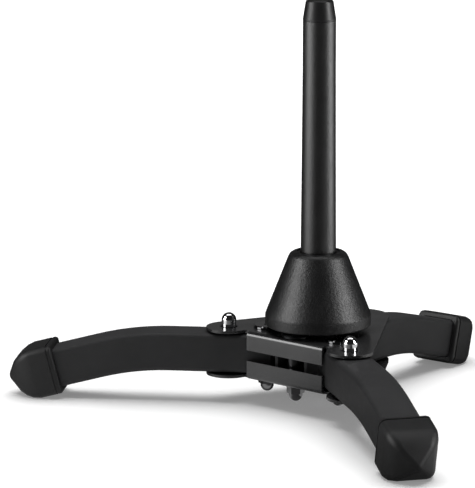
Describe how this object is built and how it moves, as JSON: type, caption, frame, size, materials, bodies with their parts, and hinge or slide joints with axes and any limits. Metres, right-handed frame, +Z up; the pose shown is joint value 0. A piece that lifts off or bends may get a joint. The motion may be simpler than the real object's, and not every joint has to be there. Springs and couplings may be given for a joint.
{
  "type": "woodwind instrument stand",
  "caption": "Folding tabletop or floor stand for a woodwind instrument: a peg and cone on a pressed steel hub with spreading square-tube legs and rubber feet.",
  "frame": {"origin": "on the floor, under the middle of the stand's outline as it stands unfolded", "axes": "+Z up along the peg; -Y towards the side that the picture is taken from, with the front leg towards -Y and a little +X, the left leg towards -X and the fixed rear leg towards +X and +Y"},
  "size_m": [0.2284, 0.2422, 0.1932],
  "materials": {
    "leg_paint": "satin black powder coat",
    "plate_paint": "semi-gloss black coat",
    "black_rubber": "matt moulded",
    "cone_plastic": "satin moulded",
    "peg_plastic": "satin, fine turned grain",
    "bright_plating": "polished",
    "zinc_steel": "bright zinc",
    "nylon": "natural"
  },
  "bodies": {
    "hub": {"acorn_nut_front": "bright_plating", "acorn_nut_left": "bright_plating", "acorn_nut_rear": "bright_plating", "bolt_sleeve_front": "zinc_steel", "bolt_sleeve_left": "zinc_steel", "bolt_sleeve_rear": "zinc_steel", "bottom_plate": "plate_paint", "centre_bolt": "zinc_steel", "centre_sleeve": "zinc_steel", "cone": "cone_plastic", "cone_base_ring": "black_rubber", "foot_cap_rear": "black_rubber", "leg_rear": "leg_paint", "lower_washer_front": "nylon", "lower_washer_left": "nylon", "lower_washer_rear": "nylon", "nut_washer_front": "bright_plating", "nut_washer_left": "bright_plating", "nut_washer_rear": "bright_plating", "peg_washer": "nylon", "pivot_bolt_front": "bright_plating", "pivot_bolt_left": "bright_plating", "rear_bolt": "bright_plating", "top_plate": "plate_paint", "upper_washer_front": "nylon", "upper_washer_left": "nylon", "upper_washer_rear": "nylon"},
    "left_leg": {"leg_left": "leg_paint", "foot_cap_left": "black_rubber", "button_housing_left": "nylon", "button_spring_left": "zinc_steel"},
    "left_button": {"lock_button_left": "bright_plating"},
    "left_plunger": {"lock_plunger_left": "zinc_steel"},
    "front_leg": {"leg_front": "leg_paint", "foot_cap_front": "black_rubber", "button_housing_front": "nylon", "button_spring_front": "zinc_steel"},
    "front_button": {"lock_button_front": "bright_plating"},
    "front_plunger": {"lock_plunger_front": "zinc_steel"},
    "peg": {"peg": "peg_plastic", "peg_insert": "zinc_steel", "peg_tip": "peg_plastic"}
  },
  "joints": [
    {"name": "left_leg_fold", "type": "hinge", "parent": "hub", "child": "left_leg", "pos_m": [0.01009, 0.02951, 0.02412], "axis": [0, 0, 1], "range_deg": [-119.4, 0]},
    {"name": "front_leg_fold", "type": "hinge", "parent": "hub", "child": "front_leg", "pos_m": [0.04346, 0.00029, 0.02412], "axis": [0, 0, 1], "range_deg": [0, 124.2]},
    {"name": "left_button_press", "type": "slide", "parent": "hub", "child": "left_button", "axis": [0, 0, -1], "range_m": [0, 0.003], "stiffness_N_per_m": 300, "springref_m": -0.004},
    {"name": "left_plunger_travel", "type": "slide", "parent": "left_leg", "child": "left_plunger", "axis": [0, 0, -1], "range_m": [0, 0.003], "stiffness_N_per_m": 300, "springref_m": -0.004, "deforming": ["button_spring_left"]},
    {"name": "front_button_press", "type": "slide", "parent": "hub", "child": "front_button", "axis": [0, 0, -1], "range_m": [0, 0.003], "stiffness_N_per_m": 300, "springref_m": -0.004},
    {"name": "front_plunger_travel", "type": "slide", "parent": "front_leg", "child": "front_plunger", "axis": [0, 0, -1], "range_m": [0, 0.003], "stiffness_N_per_m": 300, "springref_m": -0.004, "deforming": ["button_spring_front"]},
    {"name": "peg_lift_off", "type": "slide", "parent": "hub", "child": "peg", "axis": [0, 0, 1], "range_m": [0, 0.03]}
  ],
  "couplings": [
    {"joint": "left_plunger_travel", "follows": "left_button_press", "ratio": 1},
    {"joint": "front_plunger_travel", "follows": "front_button_press", "ratio": 1}
  ]
}
